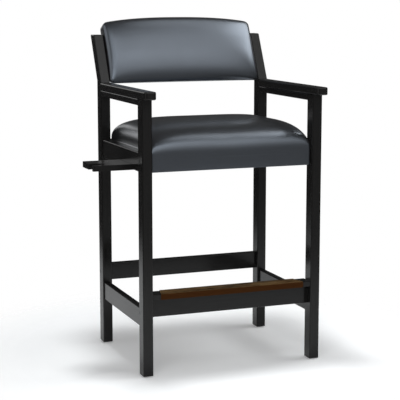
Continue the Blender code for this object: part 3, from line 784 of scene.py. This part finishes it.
@dataclass
class RakedPad:
    """A pad that leans with the rear posts: measured across, up the posts and out of their faces."""

    origin: Vector
    foot: tuple[float, float] = (0.432, 0.897)
    rake: float = math.radians(26.0)

    def to_frame(self, local: np.ndarray) -> np.ndarray:
        """Turn raked measures into points of the part's frame.

        Args:
            local: Rows of across, up and out.
        Returns:
            Rows of x, y and z.
        """
        across, up, out = local.T
        y = self.foot[0] + up * math.sin(self.rake) - out * math.cos(self.rake)
        z = self.foot[1] + up * math.cos(self.rake) + out * math.sin(self.rake)
        return np.stack([across, y, z], axis=1) + np.array(self.origin)

    def raked_moves(self, moves: np.ndarray) -> np.ndarray:
        """Turn moves in the part's frame into raked moves.

        Args:
            moves: Rows of x, y and z moves.
        Returns:
            Rows of across, up and out moves.
        """
        x, y, z = moves.T
        up = y * math.sin(self.rake) + z * math.cos(self.rake)
        out = -y * math.cos(self.rake) + z * math.sin(self.rake)
        return np.stack([x, up, out], axis=1)


@dataclass
class BackCushion(RakedPad):
    """The back: foam on a board between the posts, arched on top, with its cover turned under."""

    half: float = 0.2695
    bottom: float = -0.0036
    top: float = 0.2365
    arch: float = 0.0180
    arch_power: float = 2.4
    edge: float = -0.004
    rear: float = -0.0273
    rise: float = 0.034
    swelling: float = 0.0016
    # How square the crown is toward the sides, and toward the lower and upper edge
    side_power: float = 4.0
    end_powers: tuple[float, float] = (2.1, 3.2)
    corner: float = 0.016
    undercut: float = 0.0155
    pulled: float = 0.0015
    board_low: float = 0.0142
    board_shoulder: float = 0.1605
    board_cover: float = 0.0122
    board_neck: float = 0.2625
    board_front: float = -0.0091
    cells: tuple[int, int] = (44, 20)
    rim_cells: tuple[int, int] = (4, 1)
    clear_half: float = 0.2702
    fill: float = 0.85
    stuffing: Stuffing = field(default_factory=Stuffing)

    def grid(self) -> PadGrid:
        """Lay out the cells: a pad with a rim round the board.

        Returns:
            The block before it is bent, its height running from 0 to 1.
        """
        share = across_crown((self.side_power,) * 2, self.half, self.rise, self.cells[0])
        neck = self.board_neck / self.half
        snap(share, neck, -neck)
        tall = self.top - self.bottom
        up = across_crown(self.end_powers, tall / 2, self.rise, self.cells[1]) / 2 + 0.5
        low = self.board_low - self.bottom
        shoulder = self.board_shoulder - self.bottom
        snap(up, low / tall, shoulder / tall, (tall - self.board_cover) / tall)
        out = joined_lines((self.rear, self.board_front, self.edge), self.rim_cells)
        grid = PadGrid.full(share * self.half, up, out)
        mid_x, mid_share, mid_out = grid.middles()
        mid_up = mid_share * tall + self.bottom
        wide = (mid_up > self.board_low) & (mid_up < self.board_shoulder)
        upper = (mid_up >= self.board_shoulder) & (mid_up < self.top - self.board_cover)
        narrow = upper & (np.abs(mid_x) < self.board_neck)
        grid.filled &= ~((wide | narrow) & (mid_out < self.board_front))
        return grid

    def raked(self, points: np.ndarray) -> np.ndarray:
        """Give the block its arch, crown and rounded corners.

        Args:
            points: Points of the straight block.
        Returns:
            Rows of across, up and out.
        """
        across, share, out = points.T
        swell = self.rise - self.swelling
        along = 2 * share - 1
        ends = crown(along, np.where(along < 0, *self.end_powers))
        full = swell * crown(across / self.half, self.side_power) * ends
        tall = self.top - self.bottom
        up = self.bottom + share * tall
        x, up = round_corners(across, up, self.half, self.bottom, self.top, self.corner)
        up = up - self.arch * np.abs(across / self.half) ** self.arch_power * share
        outer = np.clip((out - self.board_front) / (self.edge - self.board_front), 0.0, 1.0)
        # The cover turns under the board and up to its rear, so the lower edge stays in the dark
        rim = np.clip(1.0 - share * tall / (self.board_low - self.bottom), 0.0, 1.0)
        up = up + self.undercut * rim * (self.edge - out) / (self.edge - self.rear)
        # The sides and the lower edge draw in between the corners; the upper edge arches out
        x = x + self.pulled * outer * draw_in(across / self.half, along)
        up = up + self.pulled * outer * draw_in(np.minimum(along, 0.0), across / self.half)
        return np.stack([x, up, out + full * outer], axis=1)

    def build(self, finish: bpy.types.Material) -> bpy.types.Object:
        """Make, stuff and dress the back.

        Args:
            finish: Material of the cover.
        Returns:
            The finished piece.
        """
        grid = self.grid()
        piece = grid.build("back_upholstery", lambda points: self.to_frame(self.raked(points)))
        local = self.raked(grid.points())
        held = local[:, 2] < self.board_front + NEAR
        moved = self.raked_moves(self.stuffing.swell(piece, held))
        set_points(piece, self.to_frame(settled(local, moved, self.swelling, self.clear_half)))
        dress(piece, finish, self.fill, "back_cushion")
        return piece


@dataclass
class RearPanel(RakedPad):
    """The covered panel that closes the back from behind, thinly padded."""

    half: float = 0.2633
    bottom: float = 0.0108
    top: float = 0.2317
    arch: float = 0.0185
    front: float = -0.0279
    edge: float = -0.0340
    rise: float = 0.0040
    power: float = 6.0
    corner: float = 0.012
    cells: tuple[int, int] = (40, 18)
    edge_cells: int = 3
    # The grid is drawn closer at the edges, as if the crown rose this many times as high
    crowding: float = 4.0
    fill: float = 0.95

    def build(self, finish: bpy.types.Material) -> bpy.types.Object:
        """Make and dress the panel.

        Args:
            finish: Material of the cover.
        Returns:
            The finished piece.
        """
        powers = (self.power, self.power)
        height = self.crowding * self.rise
        share = across_crown(powers, self.half, height, self.cells[0])
        up = across_crown(powers, (self.top - self.bottom) / 2, height, self.cells[1]) / 2 + 0.5
        out = joined_lines((self.edge, self.front), (self.edge_cells,))
        piece = PadGrid.full(share * self.half, up, out).build("back_outer_panel", self.bend)
        dress(piece, finish, self.fill, "back_rear_panel")
        return piece

    def bend(self, points: np.ndarray) -> np.ndarray:
        """Give the panel its arch, slight crown and rounded corners.

        Args:
            points: Points of the straight block.
        Returns:
            Points in the part's frame.
        """
        across, share, out = points.T
        full = self.rise * crown(across / self.half, self.power) * crown(2 * share - 1, self.power)
        up = self.bottom + share * (self.top - self.bottom)
        x, up = round_corners(across, up, self.half, self.bottom, self.top, self.corner)
        up = up - self.arch * (across / self.half) ** 2 * share
        outer = np.clip((self.front - out) / (self.front - self.edge), 0.0, 1.0)
        return self.to_frame(np.stack([x, up, out - full * outer], axis=1))


@dataclass
class Joinery:
    """The chair's frame and fittings: nodes that keep their shape and get a finish."""

    lengthwise: dict[str, Run] = field(default_factory=lambda: {
        "front_leg": Run.Z, "rear_leg": Run.Z,
        "arm_cap": Run.Y, "arm_rail": Run.Y, "side_rail": Run.Y, "side_stretcher": Run.Y,
        "front_seat_rail": Run.X, "rear_seat_rail": Run.X, "rear_stretcher": Run.X,
        "foot_rail": Run.X, "foot_tread": Run.X, "cue_rest_board": Run.X,
    })

    def finishes(self) -> dict[str, bpy.types.Material]:
        """Build the finishes of everything but the lacquered wood.

        Returns:
            The materials, by material slot.
        """
        # Birch plywood under a black wash: flat, with the veneer's figure still showing
        plywood = PlainSurface(
            "black_washed_birch_plywood", "#1c1a18", "#2a2622", size_mm=(90.0, 5.0), roughness=0.72)
        # Sawn beech, not finished because nobody sees it: pale, dry, with short flecks
        beech = PlainSurface(
            "sawn_beech", "#b58a5c", "#9c7248", size_mm=(40.0, 2.5), roughness=0.62, run=Run.X)
        # Black-oxide steel screw heads: dark grey with an oily shine
        oxide = PlainSurface(
            "black_oxide_steel", "#3a3b3d", "#2c2d2f", size_mm=(2.0, 2.0), roughness=0.38,
            metallic=1.0, bump=0.05)
        # Zinc-plated screws: pale, slightly cloudy
        zinc = PlainSurface(
            "zinc_plated_steel", "#b9babd", "#9fa1a5", size_mm=(3.0, 3.0), roughness=0.34,
            metallic=1.0, bump=0.05)
        # Moulded nylon glides: satin black
        nylon = PlainSurface(
            "moulded_nylon", "#161616", "#1c1c1c", size_mm=(1.0, 1.0), roughness=0.48, bump=0.05)
        return {
            "bronze_plate": BrushedBronze().build(),
            "blackened_plywood": plywood.build(),
            "bare_hardwood": beech.build(),
            "blackened_steel": oxide.build(),
            "zinc_plated_steel": zinc.build(),
            "black_nylon": nylon.build(),
        }

    def dress(self) -> dict[str, str]:
        """Give every node that stays its finish.

        Returns:
            The finish of each node dressed, both by name.
        """
        lacquers = {run: SprayedLacquer(run).build() for run in Run}
        others = self.finishes()
        dressed = {}
        for entry in frame["record"]["subparts"]:
            node = frame["nodes"][entry["node"]]
            slot = entry["material_slot"]
            if slot == "espresso_lacquer":
                family = next(name for name in self.lengthwise if entry["node"].startswith(name))
                finish = lacquers[self.lengthwise[family]]
            elif slot in others:
                finish = others[slot]
            else:
                continue
            node.material_slots[0].material = finish
            dressed[entry["node"]] = finish.name
        return dressed


def shown_ray(tree: bpy.types.NodeTree) -> bpy.types.Node:
    """Tell rays that show something, straight or in a mirror or glass, from rays that only light.

    Args:
        tree: Node tree that takes the nodes.
    Returns:
        A node that gives 1 for a ray that shows and 0 for one that lights.
    """
    path = add_node(tree, "ShaderNodeLightPath")
    mirror = add_node(tree, "ShaderNodeMath", {"operation": "MAXIMUM"}, {
        0: path.outputs["Is Glossy Ray"], 1: path.outputs["Is Transmission Ray"]})
    return add_node(tree, "ShaderNodeMath", {"operation": "MAXIMUM"}, {
        0: path.outputs["Is Camera Ray"], 1: mirror.outputs[0]})


def bearing(turn: float, height: float) -> Vector:
    """Direction from the chair to something in the studio.

    Args:
        turn: Degrees from the front toward the right.
        height: Degrees above the horizon.
    Returns:
        The direction, of length 1.
    """
    around = math.radians(turn)
    up = math.radians(height)
    flat = math.cos(up)
    return Vector((math.sin(around) * flat, -math.cos(around) * flat, math.sin(up)))


@dataclass
class Softbox:
    """A lamp behind a diffuser, hung off the chair: turn from the front and height in degrees."""

    name: str
    turn: float
    height: float
    size: tuple[float, float]
    watts: float
    away: float = 2.2
    aim: tuple[float, float, float] = (0.06, -0.05, 0.85)
    colour: str = "#fafdff"
    mirrored: bool = True

    def build(self) -> None:
        """Hang the lamp and turn it to the chair."""
        data = bpy.data.lights.new(self.name, "AREA")
        data.shape = "RECTANGLE"
        data.size, data.size_y = self.size
        data.energy = self.watts
        data.color = linear(self.colour)[:3]
        lamp = bpy.data.objects.new(self.name, data)
        toward = bearing(self.turn, self.height)
        lamp.location = Vector(self.aim) + toward * self.away
        lamp.rotation_euler = toward.to_track_quat("Z", "Y").to_euler()
        lamp.visible_glossy = self.mirrored
        bpy.context.scene.collection.objects.link(lamp)


@dataclass(frozen=True)
class Paper:
    """A patch of white paper, as seen from the chair, in degrees: turn from the front and height."""

    turn: float
    height: float
    inner: float
    outer: float
    strength: float = 1.0


@dataclass
class Studio:
    """Pale floor, soft lamps and the camera."""

    origin: Vector
    lens_mm: float = 113.2
    sensor_mm: float = 36.0
    camera_place: tuple[float, float, float] = (-1.505974, -3.6117396, 1.1691)
    camera_down: float = 9.0318
    camera_turn: float = -21.0588
    floor_half: float = 4.0
    floor_solid: float = 1.3
    floor_fade: float = 2.4
    floor_sooner: float = 1.5
    floor_colour: str = "#f2f2f2"
    floor_lift: float = 0.20
    room_light: float = 0.10
    room_mirrored: float = 0.04
    papers: tuple[Paper, ...] = (
        Paper(turn=-166.0, height=17.0, inner=14.0, outer=18.0),
        Paper(turn=18.0, height=-4.0, inner=15.0, outer=25.0, strength=0.33),
        Paper(turn=18.0, height=35.0, inner=4.0, outer=28.0),
        Paper(turn=-84.0, height=21.0, inner=26.0, outer=38.0),
    )

    def camera_angles(self) -> tuple[float, float, float]:
        """The camera's turn about each axis."""
        return (math.radians(90.0 - self.camera_down), 0.0, math.radians(self.camera_turn))

    def camera(self) -> None:
        """Place the camera where the photograph was taken from."""
        data = bpy.data.cameras.new("studio_camera")
        data.sensor_width = self.sensor_mm
        data.lens = self.lens_mm
        camera = bpy.data.objects.new("studio_camera", data)
        camera.location = Vector(self.camera_place) + self.origin
        camera.rotation_euler = self.camera_angles()
        bpy.context.scene.collection.objects.link(camera)
        bpy.context.scene.camera = camera

    def floor(self) -> None:
        """Lay a pale floor that fades into the white room round the chair."""
        half = self.floor_half
        mesh = bpy.data.meshes.new("studio_floor")
        corners = [(-half, -half, 0), (half, -half, 0), (half, half, 0), (-half, half, 0)]
        mesh.from_pydata(corners, [], [(0, 1, 2, 3)])
        floor = bpy.data.objects.new("studio_floor", mesh)
        bpy.context.scene.collection.objects.link(floor)
        material, tree, shader = new_material("matt_white_paper_floor")
        tree.nodes.remove(shader)
        place = add_node(tree, "ShaderNodeTexCoord").outputs["Object"]
        away = add_node(tree, "ShaderNodeVectorMath", {"operation": "LENGTH"}, {0: place})
        # The eye sees the paper fade soon after the shadow; light and mirrors meet the wide sheet
        straight = add_node(tree, "ShaderNodeLightPath").outputs["Is Camera Ray"]
        sooner = add_node(tree, "ShaderNodeMath", {"operation": "MULTIPLY_ADD"}, {
            0: straight, 1: self.floor_sooner, 2: 1.0})
        reach = add_node(tree, "ShaderNodeMath", {"operation": "MULTIPLY"}, {
            0: away.outputs["Value"], 1: sooner.outputs[0]})
        fade = add_node(tree, "ShaderNodeMapRange", {"interpolation_type": "SMOOTHSTEP"}, {
            "Value": reach.outputs[0], "From Min": self.floor_solid, "From Max": self.floor_fade})
        paper = add_node(tree, "ShaderNodeBsdfDiffuse", inputs={"Color": linear(self.floor_colour)})
        # Only what the eye or a mirror sees of the paper is lifted, so it lights the chair no more
        lifted = add_node(tree, "ShaderNodeMath", {"operation": "MULTIPLY"}, {
            0: shown_ray(tree).outputs[0], 1: self.floor_lift})
        lift = add_node(tree, "ShaderNodeEmission", inputs={
            "Color": linear(WHITE), "Strength": lifted.outputs[0]})
        lit = add_node(tree, "ShaderNodeAddShader", inputs={0: paper.outputs[0], 1: lift.outputs[0]})
        clear = add_node(tree, "ShaderNodeBsdfTransparent")
        both = add_node(tree, "ShaderNodeMixShader", inputs={
            0: fade.outputs[0], 1: lit.outputs[0], 2: clear.outputs[0]})
        tree.links.new(both.outputs[0], tree.nodes["Material Output"].inputs["Surface"])
        mesh.materials.append(material)

    def room(self) -> None:
        """Fill the world: white for the eye, papers for reflections, a softer light on surfaces."""
        world = bpy.data.worlds.new("white_room")
        world.use_nodes = True
        bpy.context.scene.world = world
        tree = world.node_tree
        tree.nodes.clear()
        shown = shown_ray(tree)
        path = add_node(tree, "ShaderNodeLightPath")
        # White paper hangs behind, before and left of the chair; the rest of the room mirrors dim
        looking = add_node(tree, "ShaderNodeTexCoord").outputs["Generated"]
        mirrored = add_node(tree, "ShaderNodeValue")
        mirrored.outputs[0].default_value = self.room_mirrored
        for paper in self.papers:
            toward = add_node(tree, "ShaderNodeVectorMath", {"operation": "DOT_PRODUCT"}, {
                0: looking, 1: bearing(paper.turn, paper.height)})
            share = add_node(tree, "ShaderNodeMapRange", {"interpolation_type": "SMOOTHSTEP"}, {
                "Value": toward.outputs["Value"], "From Min": math.cos(math.radians(paper.outer)),
                "From Max": math.cos(math.radians(paper.inner)), "To Max": paper.strength})
            mirrored = add_node(tree, "ShaderNodeMath", {"operation": "MAXIMUM"}, {
                0: mirrored.outputs[0], 1: share.outputs[0]})
        straight = add_node(tree, "ShaderNodeMath", {"operation": "MAXIMUM"}, {
            0: path.outputs["Is Camera Ray"], 1: path.outputs["Is Transmission Ray"]})
        seen = add_node(tree, "ShaderNodeMix", {"data_type": "FLOAT"}, {
            0: straight.outputs[0], 2: mirrored.outputs[0], 3: 1.0})
        white = add_node(tree, "ShaderNodeBackground", inputs={
            "Color": linear(WHITE), "Strength": seen.outputs[0]})
        soft = add_node(tree, "ShaderNodeBackground", inputs={
            "Color": linear(WHITE), "Strength": self.room_light})
        both = add_node(tree, "ShaderNodeMixShader", inputs={
            0: shown.outputs[0], 1: soft.outputs[0], 2: white.outputs[0]})
        output = add_node(tree, "ShaderNodeOutputWorld")
        tree.links.new(both.outputs[0], output.inputs["Surface"])

    def lamps(self) -> list[Softbox]:
        """The softboxes of the studio."""
        return [
            Softbox("front_softbox", turn=18.0, height=39.0, size=(1.6, 0.9), watts=3.4),
            Softbox("key_softbox", turn=14.0, height=54.0, size=(1.3, 0.7), watts=3.0),
            Softbox("left_softbox", turn=-32.0, height=22.0, size=(1.2, 1.0), watts=10.5),
            Softbox("right_softbox", turn=82.0, height=43.0, size=(1.2, 1.1), watts=20.0),
            Softbox("top_left_softbox", turn=-28.0, height=50.0, size=(0.9, 0.9), watts=5.2),
            Softbox("top_right_softbox", turn=78.0, height=69.0, size=(0.9, 0.9), watts=3.4),
            Softbox("overhead_softbox", turn=-141.0, height=84.0, size=(0.6, 0.6), watts=74.0,
                    away=2.8, mirrored=False),
        ]

    def build(self) -> None:
        """Set up the whole studio."""
        self.camera()
        self.floor()
        self.room()
        for lamp in self.lamps():
            lamp.build()
        bpy.context.scene.view_settings.view_transform = "Standard"


def chair_origin() -> Vector:
    """Find the chair's own zero: between the legs, at the front legs' front faces, on the floor.

    Returns:
        That point in the part's frame.
    """
    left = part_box("front_leg_left")
    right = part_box("front_leg_right")
    return Vector(((left[0][0] + right[1][0]) / 2, left[0][1], 0.0))


def main() -> None:
    """Dress the chair and set up the studio."""
    logging.basicConfig(level=logging.INFO, format="%(name)s: %(message)s")
    origin = chair_origin()
    for node, finish in Joinery().dress().items():
        LOG.info("%s: %s", node, finish)
    vinyl = EmbossedVinyl().build()
    for cushion in (SeatCushion(origin), BackCushion(origin), RearPanel(origin)):
        piece = cushion.build(vinyl)
        LOG.info("%s: %d faces", piece.name, len(piece.data.polygons))
    Studio(origin).build()


if __name__ == "__main__":
    main()
